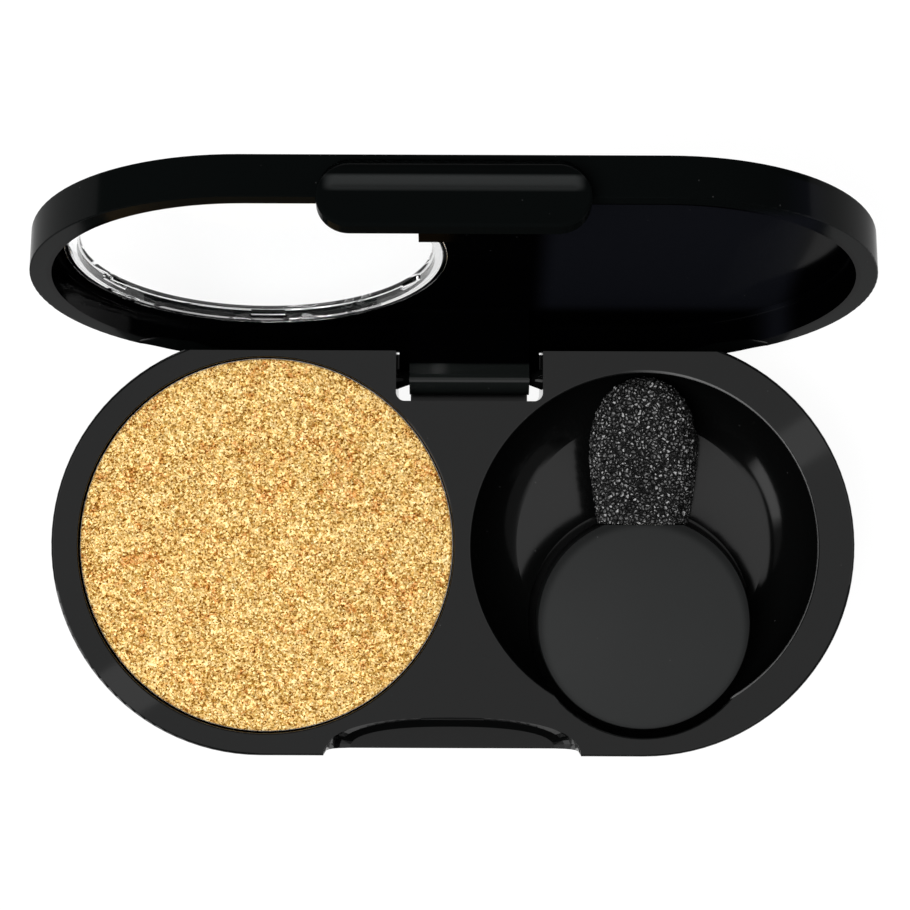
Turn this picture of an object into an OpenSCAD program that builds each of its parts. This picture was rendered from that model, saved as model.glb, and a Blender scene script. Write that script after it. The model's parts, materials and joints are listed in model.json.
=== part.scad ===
// Pill-shaped eyeshadow compact, lid open, with a button-handled sponge applicator.
// Millimetres. +Z up, origin at the middle of the underside, X along the case, -Y its front.

/* [Outline] */
// Radius of the round opening over the shadow
opening_r = 14.1; // [12:0.1:17]
// Radius of the applicator well at the deck
well_r = 13; // [12.4:0.1:15]
// Width of the deck between the shadow opening and the well
bridge_w = 1.25; // [1:0.05:4]
// Width of the deck in front of the shadow opening
rim_w = 1.65; // [1.5:0.05:3]
// How far the shadow sits in from the centre of its round end
pan_inset = 0.35; // [0:0.05:1]
// Amount by which the flat back is cut in from the round outline
back_cut = 1.15; // [0.9:0.05:1.6]

/* [Base] */
// Height of the base
base_h = 9.6; // [9.2:0.1:12]
// Thickness of the outer wall
wall = 1.2; // [1:0.05:1.5]
// Thickness of the deck
deck_t = 1; // [0.8:0.05:1.4]
// Rounding of the lower outer edge
foot_round = 0.6; // [0.2:0.05:0.9]
// Rounding of the upper outer edge
rim_round = 0.2; // [0.1:0.05:0.4]
// Rounding of the edges of the openings
lip_round = 0.12; // [0.05:0.01:0.3]
// Thickness of the bottom cover
cover_t = 1; // [0.8:0.05:1.3]
// Width of the case's rim outside the bottom cover
cover_rim = 0.75; // [0.65:0.05:0.9]
// Radius of the cover's press pegs
peg_r = 0.6; // [0.5:0.05:0.7]
// Height of the press pegs above the cover
peg_h = 2.4; // [1.5:0.1:3]

/* [Shadow] */
// Drop from the deck to the rim of the powder
shadow_drop = 0.45; // [0.3:0.05:1]
// Thickness of the powder that lies over the pan's rim
cap_t = 0.25; // [0.2:0.05:0.5]
// Rise of the powder from its rim to its middle
crown = 0.2; // [0.1:0.05:0.4]
// Height of the pan
pan_h = 3.2; // [2.5:0.1:3.6]
// Thickness of the pan's metal
pan_t = 0.3; // [0.2:0.05:0.5]
// Thickness of the glue under the pan
glue_t = 0.1; // [0.05:0.01:0.2]

/* [Well] */
// Depth of the bowl at its middle
well_depth = 5.8; // [5.6:0.05:6.2]
// Radius of the bend between the bowl's side and floor
bowl_bend = 4.6; // [4.2:0.1:5]
// Radius of the bowl's gently hollow floor
bowl_floor_r = 40; // [36:1:60]
// Thickness of the well's and cup's moulded walls
cup_wall = 0.8; // [0.7:0.05:1]
// Depth of the pocket that the handle stands in
pocket_depth = 5.9; // [5.6:0.05:6.3]
// Width of the deck in front of the pocket
pocket_rim = 1.4; // [1.2:0.05:2]

/* [Applicator] */
// Radius of the button handle
handle_r = 8; // [7:0.1:8.4]
// Height of the handle's crown above the deck
handle_rise = 0.15; // [0:0.05:0.6]
// Rounding of the handle's upper edge
handle_bend = 0.9; // [0.6:0.1:2]
// Thickness of the handle's wall
handle_wall = 1; // [0.8:0.05:1.3]
// How far the handle's flat face is cut in from its round outline
handle_flat = 0.65; // [0.4:0.05:0.9]
// Width of the foam tip
sponge_w = 8.3; // [6.5:0.1:8.6]
// Thickness of the foam tip
sponge_t = 3.6; // [2.8:0.1:3.8]
// Thickness of the foam at its very end
sponge_end_t = 2.2; // [1.8:0.1:2.6]
// Width of the foam where it meets the handle
sponge_neck_w = 6.9; // [6:0.1:7.2]
// Length of the foam's rounded end
sponge_nose = 5.9; // [4:0.1:6.5]
// Depth of the foam's middle plane below the deck
sponge_drop = 1.9; // [1.8:0.05:2.2]
// How far the foam's end turns up from its middle plane
sponge_lift = 0.65; // [0.3:0.05:0.8]
// Width of the stem
stem_w = 3; // [2:0.1:3.4]
// Thickness of the stem
stem_t = 1; // [0.8:0.05:1.2]

/* [Hinge] */
// Distance of the hinge axis in from the flat back
axis_inset = 2.05; // [2:0.05:2.3]
// Depth of the hinge axis below the deck
axis_drop = 2.8; // [2.7:0.05:3]
// How far the hinge sits right of the middle
hinge_x = 1.2; // [0:0.1:1.6]
// Width of the notch in the base
notch_w = 11; // [10:0.1:11.6]
// Thickness of the walls round the notch
notch_wall = 0.8; // [0.7:0.05:1]
// Rounding of the notch's inner corners
notch_round = 0.65; // [0.4:0.05:0.9]
// Thickness of the floor under the notch
notch_floor_t = 1.8; // [1.4:0.1:2.4]
// Radius of the lid's knuckle
knuckle_r = 1.18; // [1.1:0.01:1.25]
// Gap between the knuckle and each end of the notch
knuckle_end_gap = 0.98; // [0.6:0.02:1.2]
// Radius of the pivot nubs
pivot_r = 0.45; // [0.35:0.01:0.55]
// Radius of each nub's cone at the wall
cone_r = 0.8; // [0.6:0.05:0.95]
// Length of each pivot inside the knuckle
pivot_l = 0.9; // [0.6:0.05:1.2]
// Radius of the bend between the lid's plate and its hinge tongue
tongue_bend = 0.3; // [0.1:0.05:0.6]
// Thickness of the skirt that closes the notch behind the knuckle
skirt_t = 0.95; // [0.8:0.05:1]

/* [Lid] */
// Height of the lid from its rim to its top
lid_h = 3.1; // [2.9:0.05:3.4]
// Overhang of the lid beyond the base
lid_over = 0.2; // [0.15:0.05:0.3]
// Thickness of the lid's plate
plate_t = 0.75; // [0.6:0.05:0.9]
// Thickness of the lid's wall along the front and back
lid_wall = 1.2; // [1:0.05:1.3]
// Thickness of the lid's wall at its round ends
lid_end_wall = 1.55; // [1.4:0.05:1.8]
// Rounding of the lid's upper edge
lid_round = 0.15; // [0.1:0.05:0.5]
// Rounding of the lid's lower outer edge
lid_edge = 0.08; // [0.05:0.01:0.15]
// Rounding where the plate meets the wall inside
tray_round = 0.4; // [0.2:0.05:0.6]

/* [Window] */
// Radius of the hole in the lid for the window
window_r = 13.45; // [11:0.05:13.6]
// How far the window's centre sits in from the centre of the lid's round end
window_inset = 0.15; // [0:0.05:0.5]
// Thickness of the window's clear pane
pane_t = 0.35; // [0.3:0.05:0.5]
// Thickness of the window's round wall
ring_w = 0.55; // [0.4:0.05:0.7]
// Height of the window's wall inside the lid
ring_h = 0.25; // [0.2:0.05:0.4]
// Width of the flange beyond the hole
flange_w = 0.3; // [0.2:0.05:0.5]
// Number of lugs round the inside of the window's wall
lugs = 6; // [4:1:8]
// Length of each lug
lug_l = 2.6; // [2:0.1:4]

/* [Thumb tab] */
// Width of the thumb tab
tab_w = 18.3; // [16:0.1:18.6]
// Reach of the tab below the lid's rim
tab_down = 2.5; // [2:0.05:2.8]
// Reach of the tab above the lid's rim
tab_up = 3; // [2.6:0.05:3.05]
// How far the tab stands out in front of the lid
tab_out = 1.1; // [0.8:0.05:1.2]
// Thickness of the tab
tab_t = 1.4; // [1.3:0.05:1.8]
// Radius of the tab's corners
tab_corner = 2.25; // [2.2:0.05:2.5]
// Sweep of the tab's pillowed upper front
tab_bulge = 2.2; // [1.6:0.05:2.2]
// Rounding of the tab's lower front edge
tab_round = 0.25; // [0.15:0.05:0.6]
// Width of the recess at the deck
recess_w = 19.3; // [19:0.1:20.5]
// Width of the recess at its floor
recess_floor_w = 15.7; // [14:0.1:17]
// Depth of the recess into the deck
recess_in = 2.9; // [2.8:0.05:3.2]
// Depth of the recess into the case at its floor
recess_floor_in = 1.65; // [1.4:0.05:2]
// Depth of the recess floor below the deck
recess_depth = 5.6; // [4.5:0.1:6]
// Width of the latch ridge and of the hook under it
latch_w = 4.7; // [3:0.1:6]
// Radius of the latch ridge and of the hook
latch_r = 0.28; // [0.2:0.01:0.3]
// How far the hook reaches in under the latch ridge
latch_bite = 0.1; // [0.05:0.01:0.14]

/* [Clearances] */
// Gap under the closed lid's rim
shut_gap = 0.05; // [0.03:0.01:0.1]
// Gap round the pivots in the knuckle
pivot_gap = 0.05; // [0.03:0.01:0.08]
// Gap between the swinging lid and the base's back edge
swing_gap = 0.1; // [0.06:0.01:0.15]
// Gap between the skirt and each end of the notch
skirt_gap = 0.15; // [0.1:0.01:0.25]
// Gap between the knuckle and the front of the notch
knuckle_gap = 0.52; // [0.4:0.02:0.6]
// Gap round the pan in its cup
pan_gap = 0.1; // [0.05:0.01:0.15]
// Gap round the handle in its pocket
pocket_gap = 0.6; // [0.4:0.05:0.8]
// Gap under the handle
seat_gap = 0.03; // [0.02:0.01:0.06]
// Gap between the foam's end and the side of the bowl
tip_gap = 0.06; // [0.05:0.01:0.3]
// Gap round the bottom cover and the window in their seats
fit_gap = 0.05; // [0.03:0.01:0.08]
// Gap round the thumb tab in the recess
tab_gap = 0.2; // [0.15:0.01:0.24]

/* [Hidden] */
$fn = 96;
eps = 0.01;

case_r = opening_r + rim_w;
case_span = opening_r + bridge_w + well_r + pan_inset;
case_l = case_span + 2 * case_r;
case_back = case_r - back_cut;
pan_x = pan_inset - case_span / 2;
well_x = case_span / 2;

// base heights
cap_z = base_h - shadow_drop - cap_t;
pan_z = cap_z - pan_h;
cup_z = pan_z - glue_t;
pocket_z = base_h - pocket_depth;
recess_z = base_h - recess_depth;
pan_r = opening_r - pan_gap;
pocket_r = handle_r + pocket_gap;
pocket_y = pocket_rim + pocket_r - case_r;

// centre of the bend in the bowl's half profile, measured from the deck
bend_x = well_r - bowl_bend;
bend_reach = bowl_floor_r - bowl_bend;
bend_h = bowl_floor_r - well_depth - sqrt(bend_reach * bend_reach - bend_x * bend_x);

// hinge
axis_y = case_back - axis_inset;
axis_z = base_h - axis_drop;
open_angle = 2 * atan2(axis_drop, axis_inset);
notch_y = axis_y - knuckle_r - knuckle_gap;
tongue_w = notch_w - 2 * knuckle_end_gap;
skirt_w = notch_w - 2 * skirt_gap;
swing_r = norm([axis_drop, axis_inset]) + swing_gap;
flat_half = case_span / 2 + sqrt(case_r * case_r - case_back * case_back);
swing_half = case_span / 2 + sqrt(case_r * case_r - axis_y * axis_y);

// closed lid
lid_r = case_r + lid_over;
lid_z = base_h + shut_gap;
lid_top = lid_z + lid_h;
tray_z = lid_top - plate_t;
tray_r = lid_r - lid_wall;
tray_span = case_span - 2 * (lid_end_wall - lid_wall);
window_x = window_inset - case_span / 2;
clear_r = window_r - fit_gap - ring_w;
flange_r = window_r + flange_w;

// recess: share of its depth, and share of the way in from its mouth to its floor
recess_steps = [[0, 0], [0.66, 0.04], [0.8, 0.13], [0.9, 0.3], [0.96, 0.55], [1, 1]];
function recess_draw(drop) = lookup(drop / recess_depth, recess_steps);
function recess_half(drop) = (recess_w - (recess_w - recess_floor_w) * recess_draw(drop)) / 2;
function recess_deep(drop) = recess_in - (recess_in - recess_floor_in) * recess_draw(drop);

// thumb tab and latch
tab_front = -lid_r - tab_out;
tab_back = tab_front + tab_t;
tab_reach = base_h - lid_z + tab_down;
latch_z = base_h - tab_down / 2;
latch_y = -case_r + recess_deep(base_h - latch_z);
hook_y = latch_y - 2 * latch_r + latch_bite;
hook_z = latch_z - 2 * latch_r;

// applicator
handle_z = pocket_z + seat_gap;
handle_top = base_h + handle_rise;
handle_y = pocket_y;
face_y = handle_y + handle_r - handle_flat;
stem_z = base_h - sponge_drop;
nose_r = sponge_end_t / 2;
nose_z = stem_z + sponge_lift;
nose_y = bend_x + sqrt(pow(bowl_bend - nose_r - tip_gap, 2) - pow(nose_z - base_h - bend_h, 2));
sponge_end = nose_y + nose_r;
foot_t = 0.9;
anchor_w = 6;
anchor_l = 5;
anchor_pin_r = 0.8;

boss_r = peg_r + 0.7;
boss_front = [0.6, -9.2];
boss_back = [0.6, notch_y - notch_wall - boss_r + 0.3];

// Solid of a half profile turned round both ends and run straight between them
module capsule(span) {
    for (side = [-1, 1])
        translate([side * span / 2, 0, 0]) rotate_extrude() children();
    rotate([90, 0, 90]) linear_extrude(height = span, center = true) {
        children();
        mirror([1, 0]) children();
    }
}

// Half profile of a slab with its lower and upper outer edges rounded
module slab_profile(r, low, high, low_round, high_round) {
    translate([0, low + low_round]) square([r, high - low - low_round - high_round]);
    if (low_round > 0) {
        translate([0, low]) square([r - low_round, low_round + eps]);
        translate([r - low_round, low + low_round]) circle(low_round);
    }
    if (high_round > 0) {
        translate([0, high - high_round - eps]) square([r - high_round, high_round + eps]);
        translate([r - high_round, high - high_round]) circle(high_round);
    }
}

// Half profile of the bowl: a hollow floor, a bend and an upright side up to the deck
module bowl_profile(grow, top) {
    r = well_r + grow;
    bend = bowl_bend + grow;
    floor_r = bowl_floor_r + grow;
    floor_x = floor_r * bend_x / bend_reach;
    translate([0, base_h]) {
        translate([0, bend_h]) square([r, top - bend_h]);
        intersection() {
            translate([bend_x, bend_h]) circle(bend);
            translate([0, bend_h - bend]) square([r, bend]);
        }
        intersection() {
            translate([0, bowl_floor_r - well_depth]) circle(floor_r, $fn = 360);
            translate([0, bend_h - 2 * bend]) square([floor_x, 2 * bend]);
        }
    }
}

// Ring that rounds the deck's edge round an opening of radius r
module lip_cut(r) {
    rotate_extrude() translate([r, base_h - lip_round]) difference() {
        translate([-eps, 0]) square([lip_round + eps, lip_round + eps]);
        translate([lip_round, 0]) circle(lip_round);
    }
}

// Half of a flattened oval in plan: full width at the front edge, curving in to a depth
module recess_outline(half_w, deep) {
    power = 2.4;
    steps = 28;
    arch = [for (i = [0:steps]) let (a = 180 * i / steps)
        [half_w * sign(cos(a)) * pow(abs(cos(a)), 2 / power), deep * pow(sin(a), 2 / power)]];
    polygon(concat([[half_w, -1.5]], arch, [[-half_w, -1.5]]));
}

// Outline of the recess at a drop below the deck, smaller by gap
module recess_slice(drop, gap = 0) {
    translate([0, -case_r]) recess_outline(recess_half(drop) - gap, recess_deep(drop) - gap);
}

// Thumb recess: upright under its mouth, with a hollow bend down to its floor
module recess_shape() {
    for (i = [1:len(recess_steps) - 1]) hull() for (j = [i - 1, i]) {
        drop = recess_depth * recess_steps[j][0];
        translate([0, 0, base_h - drop]) linear_extrude(eps) recess_slice(drop);
    }
}

// Block behind the recess that the wall of the recess is made from
module recess_block() {
    translate([0, -case_r, recess_z - cup_wall]) linear_extrude(base_h - recess_z)
        recess_outline(recess_w / 2 + cup_wall, recess_in + cup_wall);
}

// Notch for the hinge, open at the back, wider by grow on every walled side
module notch(grow, low, high) {
    half = notch_w / 2 + grow;
    front = notch_y - grow;
    bend = notch_round + grow;
    translate([hinge_x, 0, low]) linear_extrude(high - low) {
        translate([-half, front + bend]) square([2 * half, case_r - front]);
        translate([-half + bend, front]) square([2 * (half - bend), 2 * bend]);
        for (side = [-1, 1]) translate([side * (half - bend), front + bend]) circle(bend);
    }
}

// Hole through the notch's floor under the front of one pivot
module pivot_hole(side) {
    intersection() {
        notch(0, -1, notch_floor_t + 1);
        translate([hinge_x + side * (notch_w - knuckle_end_gap) / 2, axis_y, 0])
            translate([-knuckle_end_gap / 2, -2 * case_r, -1])
                cube([knuckle_end_gap, 2 * case_r, notch_floor_t + 2]);
    }
}

// Cylinder along the hinge axis, centred on x
module along_axis(r, length, x = 0) {
    translate([x, axis_y, axis_z]) rotate([0, 90, 0]) cylinder(h = length, r = r, center = true);
}

// One end's pivot: a cone on the notch wall and a stub that enters the knuckle
module pivot(side) {
    translate([hinge_x + side * notch_w / 2, axis_y, axis_z]) rotate([0, -side * 90, 0]) {
        translate([0, 0, -notch_wall]) cylinder(h = notch_wall + eps, r = cone_r);
        cylinder(h = knuckle_end_gap - pivot_gap, r1 = cone_r, r2 = pivot_r);
        cylinder(h = knuckle_end_gap + pivot_l, r = pivot_r);
    }
}

module base_outline(inset, low, high, low_round = 0, high_round = 0) {
    intersection() {
        capsule(case_span) slab_profile(case_r - inset, low, high, low_round, high_round);
        translate([-case_l, -case_l, low - 1])
            cube([2 * case_l, case_l + case_back - inset, high - low + 2]);
    }
}

module peg_boss(place) {
    translate([place[0], place[1], cover_t + eps])
        cylinder(h = base_h - cover_t - deck_t, r = boss_r);
}

module base_case() {
    color([0.15, 0.15, 0.155]) difference() {
        union() {
            difference() {
                base_outline(0, 0, base_h, foot_round, rim_round);
                base_outline(wall, cover_t - eps, base_h - deck_t);
                base_outline(cover_rim, -1, cover_t);
            }
            intersection() {
                base_outline(cover_rim, cover_t, base_h - eps);
                union() {
                    translate([pan_x, 0, cup_z - cup_wall])
                        cylinder(h = base_h - cup_z, r = opening_r + cup_wall);
                    translate([well_x, 0, 0]) rotate_extrude() bowl_profile(cup_wall, -eps);
                    translate([well_x, pocket_y, pocket_z - cup_wall])
                        cylinder(h = pocket_depth, r = pocket_r + cup_wall);
                    recess_block();
                    notch(notch_wall, cover_t, base_h - eps);
                    peg_boss(boss_front);
                    peg_boss(boss_back);
                }
            }
            intersection() {
                base_outline(0, 0, notch_floor_t + eps, foot_round);
                notch(notch_wall, 0, notch_floor_t + eps);
            }
        }
        translate([pan_x, 0, cup_z]) cylinder(h = base_h, r = opening_r);
        translate([pan_x, 0, 0]) lip_cut(opening_r);
        translate([well_x, 0, 0]) rotate_extrude() bowl_profile(0, 1);
        translate([well_x, 0, 0]) lip_cut(well_r);
        translate([well_x, pocket_y, pocket_z]) cylinder(h = base_h, r = pocket_r);
        translate([well_x, pocket_y, 0]) lip_cut(pocket_r);
        recess_shape();
        notch(0, notch_floor_t, base_h + 1);
        for (side = [-1, 1]) pivot_hole(side);
        for (place = [boss_front, boss_back])
            translate([place[0], place[1], 0]) cylinder(h = cover_t + peg_h + fit_gap, r = peg_r);
    }
    color([0.15, 0.15, 0.155]) {
        for (side = [-1, 1]) pivot(side);
        translate([0, latch_y, latch_z]) rotate([0, 90, 0])
            cylinder(h = latch_w, r = latch_r, center = true);
    }
}

module bottom_cover() {
    color([0.12, 0.12, 0.12]) {
        difference() {
            base_outline(cover_rim + fit_gap, 0, cover_t);
            notch(notch_wall + fit_gap, -1, cover_t + 1);
        }
        for (place = [boss_front, boss_back])
            translate([place[0], place[1], cover_t - eps]) cylinder(h = peg_h, r = peg_r);
    }
}

module shadow_pan() {
    color([0.78, 0.78, 0.8]) translate([pan_x, 0, 0]) difference() {
        rotate_extrude() slab_profile(pan_r, pan_z, cap_z, pan_t, 0);
        translate([0, 0, pan_z + pan_t]) cylinder(h = pan_h, r = pan_r - pan_t);
    }
}

module pan_glue() {
    color([0.85, 0.82, 0.7]) translate([pan_x, 0, cup_z]) difference() {
        cylinder(h = glue_t, r = pan_r * 0.8);
        translate([0, 0, -1]) cylinder(h = 2, r = pan_r * 0.5);
    }
}

module pressed_shadow() {
    cap_r = pan_r - fit_gap;
    dome_r = (cap_r * cap_r + crown * crown) / (2 * crown);
    color([0.87, 0.7, 0.38]) translate([pan_x, 0, 0]) {
        translate([0, 0, pan_z + pan_t]) cylinder(h = pan_h - pan_t + eps, r = pan_r - pan_t);
        intersection() {
            translate([0, 0, cap_z]) cylinder(h = cap_t + crown, r = cap_r);
            translate([0, 0, cap_z + cap_t + crown - dome_r]) sphere(dome_r, $fn = 720);
        }
    }
}

// Everything drawn shut, swung open about the hinge axis
module swung_open() {
    translate([0, axis_y, axis_z]) rotate([-open_angle, 0, 0]) translate([0, -axis_y, -axis_z])
        children();
}

// Round post at a corner of the thumb tab, its front edge rounded by bend
module tab_post(x, z, bend) {
    translate([x, tab_front, z]) rotate([-90, 0, 0]) rotate_extrude($fn = 56) intersection() {
        slab_profile(tab_corner, 0, 2 * tab_corner, bend, 0);
        square([tab_corner, tab_t]);
    }
}

// Thumb tab: a pillowed upper front that runs out flat towards its lower edge
module thumb_tab() {
    half = tab_w / 2 - tab_corner;
    hull() for (x = [-half, half]) {
        tab_post(x, lid_z - tab_down + tab_corner, tab_round);
        tab_post(x, lid_z + tab_up - tab_corner, tab_bulge);
    }
}

// Part of the tab that hangs below the rim: its back follows the recess
module tab_skirt() {
    intersection() {
        thumb_tab();
        translate([0, 0, lid_z - tab_down]) linear_extrude(tab_down + eps)
            recess_slice(tab_reach, tab_gap);
    }
}

// Bead on the tab's back that snaps in under the latch ridge
module tab_hook() {
    translate([0, hook_y, hook_z]) {
        rotate([0, 90, 0]) cylinder(h = latch_w, r = latch_r, center = true);
        translate([-latch_w / 2, tab_back - hook_y - latch_r, -latch_r])
            cube([latch_w, hook_y - tab_back + latch_r, 2 * latch_r]);
    }
}

// Room that the base's back edge sweeps through, and the slope that stops on its flat back
module swing_relief() {
    along_axis(swing_r, 2 * flat_half);
    for (side = [-1, 1])
        translate([side * flat_half, axis_y, axis_z]) rotate([0, side * 90, 0])
            cylinder(h = swing_half - flat_half, r1 = swing_r, r2 = axis_drop + swing_gap);
    translate([0, axis_y, axis_z]) rotate([open_angle, 0, 0])
        translate([-case_l, -case_r, -case_r])
            cube([2 * case_l, case_r + axis_inset + swing_gap, case_r + axis_drop]);
}

module hinge_tongue() {
    top = tray_z + plate_t / 2;
    front = axis_y - knuckle_r;
    difference() {
        union() {
            along_axis(knuckle_r, tongue_w, hinge_x);
            translate([hinge_x - tongue_w / 2, front, axis_z])
                cube([tongue_w, knuckle_r + axis_inset, top - axis_z]);
            translate([hinge_x, front, tray_z]) difference() {
                translate([-tongue_w / 2, -tongue_bend, -tongue_bend])
                    cube([tongue_w, tongue_bend + eps, tongue_bend + eps]);
                translate([0, -tongue_bend, -tongue_bend]) rotate([0, 90, 0])
                    cylinder(h = 2 * tongue_w, r = tongue_bend, center = true);
            }
            translate([hinge_x - skirt_w / 2, axis_y + axis_inset - skirt_t, axis_z + skirt_t / 2])
                cube([skirt_w, skirt_t, top - axis_z - skirt_t / 2]);
        }
        for (side = [-1, 1])
            along_axis(pivot_r + pivot_gap, 2 * (pivot_l + pivot_gap), hinge_x + side * tongue_w / 2);
    }
}

module lid_tray() {
    difference() {
        union() {
            capsule(case_span) slab_profile(lid_r, lid_z, lid_top, lid_edge, lid_round);
            intersection() {
                thumb_tab();
                translate([-tab_w, -2 * case_r, lid_z]) cube([2 * tab_w, 2 * case_r, 2 * lid_h]);
            }
        }
        capsule(tray_span) slab_profile(tray_r, lid_z - 1, tray_z, 0, tray_round);
        swing_relief();
    }
}

module lid_shell() {
    color([0.04, 0.045, 0.05]) swung_open() difference() {
        union() {
            lid_tray();
            tab_skirt();
            tab_hook();
            hinge_tongue();
        }
        translate([window_x, 0, lid_z]) cylinder(h = 2 * lid_h, r = window_r);
    }
}

// Clear window: a thin pane on a round wall that fills the lid's hole, with a flange and lugs inside
module lid_window() {
    crest_z = tray_z - ring_h;
    pane_z = lid_top - pane_t;
    lug_t = 0.35;
    color([0.85, 0.9, 0.92, 0.35]) swung_open() translate([window_x, 0, 0]) {
        difference() {
            union() {
                translate([0, 0, crest_z]) cylinder(h = lid_top - crest_z, r = window_r - fit_gap);
                rotate_extrude() slab_profile(flange_r, crest_z, tray_z, 0.1, 0);
            }
            translate([0, 0, crest_z - 1]) cylinder(h = pane_z - crest_z + 1, r = clear_r);
        }
        for (i = [0:lugs - 1]) rotate([0, 0, 360 * (i + 0.5) / lugs])
            translate([clear_r - lug_t, -lug_l / 2, pane_z - lug_t])
                cube([2 * lug_t, lug_l, lug_t + eps]);
    }
}

// Slot through the handle's flat face and room for the stem's anchor plate
module stem_shape(grow) {
    tail_y = face_y - handle_wall - anchor_l;
    translate([well_x - stem_w / 2 - grow, face_y - handle_wall - 1, stem_z - stem_t / 2 - grow])
        cube([stem_w + 2 * grow, sponge_end - face_y - 1.5, stem_t + 2 * grow]);
    translate([well_x - anchor_w / 2 - grow, tail_y - grow, stem_z - stem_t / 2 - grow])
        cube([anchor_w + 2 * grow, anchor_l + grow, stem_t + 2 * grow]);
}

module handle_body(inset, low) {
    intersection() {
        translate([well_x, handle_y, 0]) rotate_extrude() intersection() {
            slab_profile(handle_r - inset, low, handle_top - inset, 0, max(0, handle_bend - inset));
            translate([0, handle_top - inset - 60]) circle(60, $fn = 360);
        }
        translate([well_x - handle_r, handle_y - handle_r, low])
            cube([2 * handle_r, 2 * handle_r - handle_flat - inset, handle_top]);
    }
}

module handle_shell() {
    color([0.18, 0.18, 0.185]) difference() {
        handle_body(0, handle_z);
        handle_body(handle_wall, handle_z - 1);
        stem_shape(fit_gap);
    }
}

module handle_base() {
    post_z = stem_z - stem_t / 2;
    post_y = face_y - handle_wall - anchor_l / 2;
    color([0.12, 0.12, 0.12]) {
        intersection() {
            handle_body(handle_wall + fit_gap, handle_z);
            translate([0, -case_r, handle_z]) cube([3 * case_r, 2 * case_r, foot_t]);
        }
        translate([well_x, post_y, handle_z]) {
            cylinder(h = post_z - handle_z, r = 2 * anchor_pin_r);
            cylinder(h = post_z + stem_t - handle_z, r = anchor_pin_r);
        }
    }
}

module applicator_stem() {
    color([0.9, 0.9, 0.88]) difference() {
        stem_shape(0);
        translate([well_x, face_y - handle_wall - anchor_l / 2, 0])
            cylinder(h = base_h, r = anchor_pin_r + fit_gap);
    }
}

// Foam bullet: an oval end, thinner and turned up at its tip, on sides that draw in to the handle
module sponge_tip() {
    ball = sponge_t / 2;
    start_y = sponge_end - sponge_nose;
    color([0.08, 0.08, 0.08]) difference() {
        hull() {
            for (side = [-1, 1])
                translate([well_x + side * (sponge_neck_w / 2 - ball), face_y + 0.05, stem_z])
                    rotate([-90, 0, 0]) cylinder(h = 0.3, r = ball, $fn = 28);
            for (a = [-15:15:195]) {
                part = pow(max(0, sin(a)), 2);
                r = ball + (nose_r - ball) * part;
                translate([well_x + (sponge_w / 2 - r) * cos(a), start_y + (nose_y - start_y) * sin(a),
                           stem_z + sponge_lift * part])
                    sphere(r, $fn = 28);
            }
        }
        stem_shape(fit_gap);
    }
}

base_case();
bottom_cover();
shadow_pan();
pan_glue();
pressed_shadow();
lid_shell();
lid_window();
handle_shell();
handle_base();
applicator_stem();
sponge_tip();
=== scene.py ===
# Looks, fine relief and studio light for an eyeshadow compact with its own sponge applicator.
# Metres, +Z up, the compact's front towards -Y.
import json
import math

import bmesh
import bpy
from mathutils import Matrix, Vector, noise


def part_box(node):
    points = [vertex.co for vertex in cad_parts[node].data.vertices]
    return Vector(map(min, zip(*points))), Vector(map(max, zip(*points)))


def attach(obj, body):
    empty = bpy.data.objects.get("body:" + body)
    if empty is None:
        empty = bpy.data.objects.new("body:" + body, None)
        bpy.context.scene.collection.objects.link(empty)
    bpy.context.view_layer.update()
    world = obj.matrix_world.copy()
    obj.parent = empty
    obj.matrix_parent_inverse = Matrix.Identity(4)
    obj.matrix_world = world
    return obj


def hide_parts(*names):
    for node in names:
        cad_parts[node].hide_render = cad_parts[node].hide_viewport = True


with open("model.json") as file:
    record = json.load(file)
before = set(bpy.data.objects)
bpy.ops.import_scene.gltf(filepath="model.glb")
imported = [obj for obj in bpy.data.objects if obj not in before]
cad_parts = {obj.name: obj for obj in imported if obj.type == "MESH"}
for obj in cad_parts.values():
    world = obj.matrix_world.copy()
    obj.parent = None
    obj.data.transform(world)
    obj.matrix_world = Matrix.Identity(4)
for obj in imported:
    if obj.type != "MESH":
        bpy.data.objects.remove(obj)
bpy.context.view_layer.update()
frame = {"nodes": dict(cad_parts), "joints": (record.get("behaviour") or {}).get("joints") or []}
nodes = frame["nodes"]

MM = 0.001
DECK_Z = 9.6 * MM
SPINE_HALF = 14.175 * MM  # from the middle of the outline to the middle of its round end
LID_MIDDLE = 12.55 * MM   # from the hinge to the lid's spine
WINDOW_X = -14.2 * MM
HANDLE_X, HANDLE_Y = 14.35 * MM, -6.075 * MM
hinge = next(j for j in frame["joints"] if j["name"] == "lid_hinge")
HINGE = Vector(hinge["pos_m"])
LID_OPEN = math.radians(hinge["range_deg"][1])


# ---------- building nodes ----------

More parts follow.
